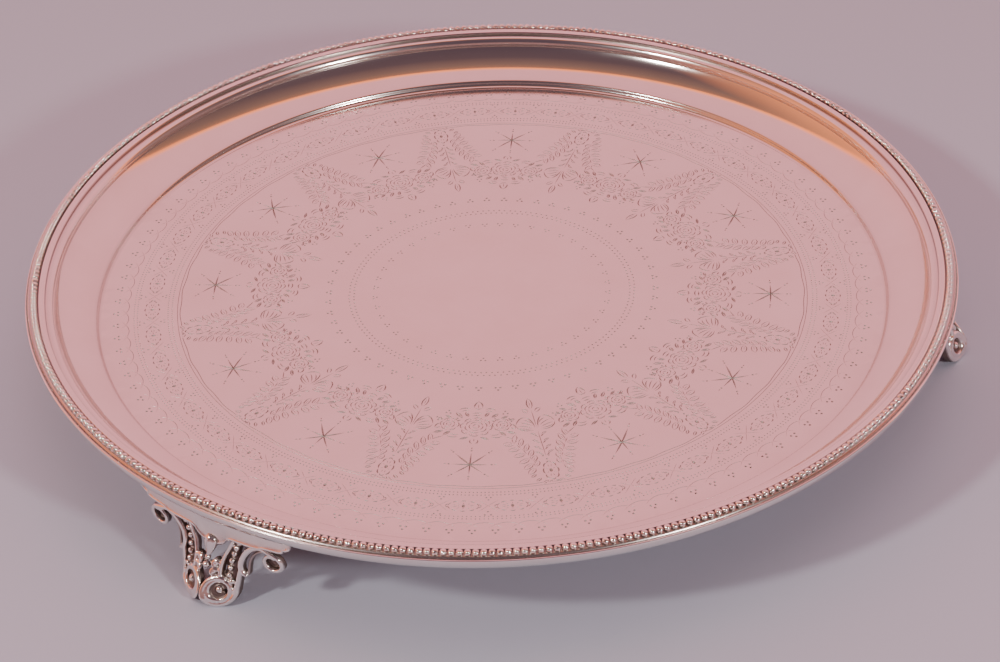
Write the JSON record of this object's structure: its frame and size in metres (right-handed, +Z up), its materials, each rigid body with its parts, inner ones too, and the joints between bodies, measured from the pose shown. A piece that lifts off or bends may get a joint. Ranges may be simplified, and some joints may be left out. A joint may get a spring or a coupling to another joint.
{
  "type": "salver",
  "caption": "Round silver salver on scroll feet: flat engraved well, curved border with a beaded edge, for serving or presenting.",
  "frame": {"origin": "on the plane that the feet stand on, below the centre of the well, on the tray's axis", "axes": "+Z up along the tray's axis; +X out through the middle ridge of the first foot; the feet stand at 0, 120 and 240 degrees"},
  "size_m": [0.3104, 0.3048, 0.0357],
  "materials": {
    "polished_sheet": "polished silver, hand engraved",
    "polished_border": "polished silver",
    "bead_silver": "polished silver beads, tarnished between",
    "cast_silver": "cast silver, tarnished in the recesses"
  },
  "bodies": {
    "root": {"tray_sheet": "polished_sheet", "border_moulding": "polished_border", "rim_wire": "polished_border", "bead_border": "bead_silver", "foot_1_pad": "cast_silver", "foot_1_left_scroll": "cast_silver", "foot_1_right_scroll": "cast_silver", "foot_1_bud": "cast_silver", "foot_2_pad": "cast_silver", "foot_2_left_scroll": "cast_silver", "foot_2_right_scroll": "cast_silver", "foot_2_bud": "cast_silver", "foot_3_pad": "cast_silver", "foot_3_left_scroll": "cast_silver", "foot_3_right_scroll": "cast_silver", "foot_3_bud": "cast_silver"}
  },
  "joints": []
}
